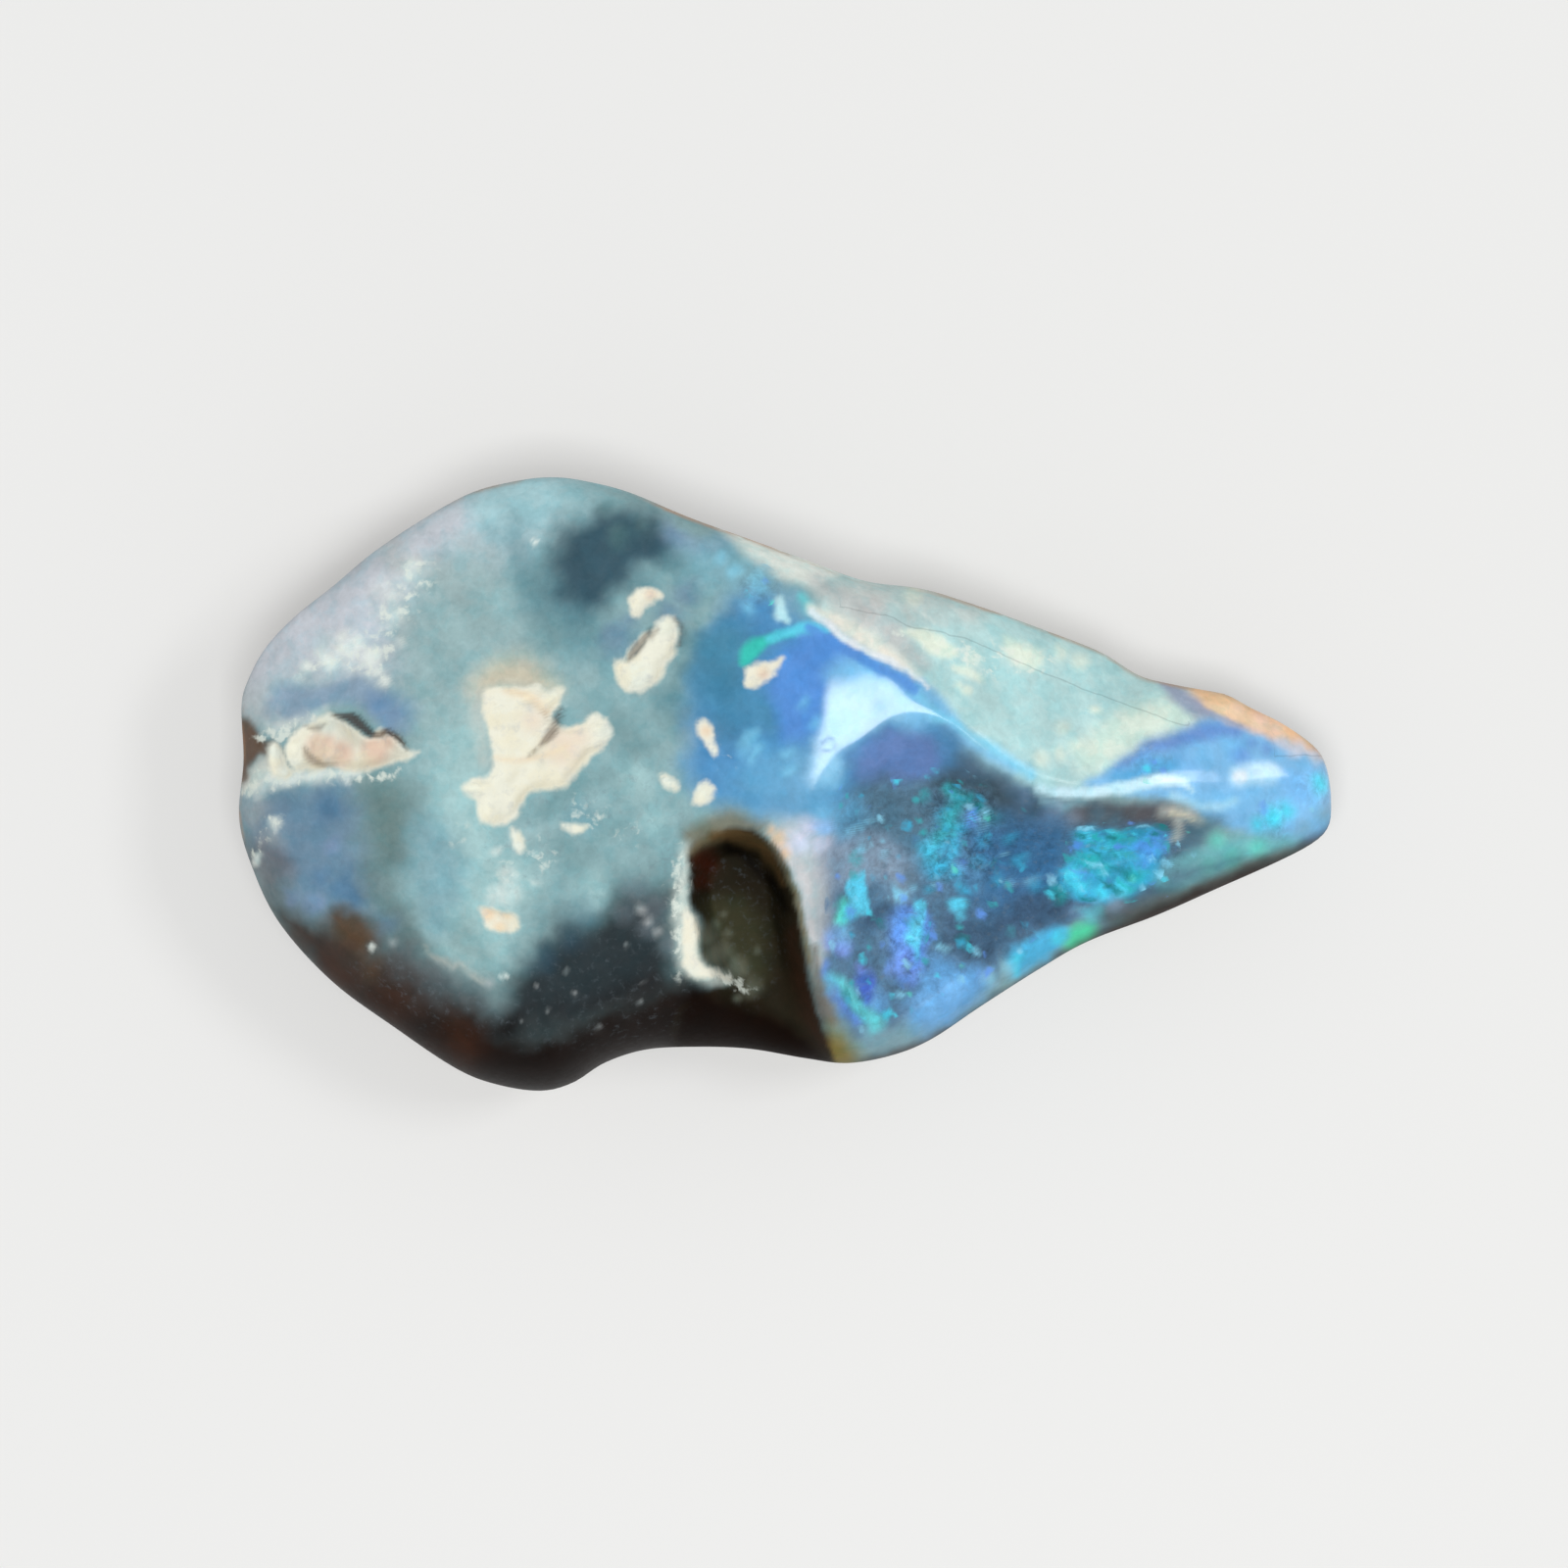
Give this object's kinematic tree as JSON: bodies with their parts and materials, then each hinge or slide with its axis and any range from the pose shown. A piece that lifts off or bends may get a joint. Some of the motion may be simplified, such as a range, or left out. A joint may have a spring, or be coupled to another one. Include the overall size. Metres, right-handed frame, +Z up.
{
  "type": "lightning ridge opal",
  "caption": "Freeform hand-rubbed opal: broad domed end, ridge and flat panel, hollowed scoop, deep pit, narrow tip and a flat base.",
  "frame": {"origin": "on the ground flat of the underside, below the middle of the stone's length and width", "axes": "+X along the stone's length from the broad end to the tip, +Y to the back edge behind the ridge, +Z up"},
  "size_m": [0.0334, 0.0188, 0.0084],
  "materials": {
    "opal": "hand-rubbed: satin on the broad end, polished on the ridge, scoop and tip"
  },
  "bodies": {
    "root": {"opal": "opal"}
  },
  "joints": []
}
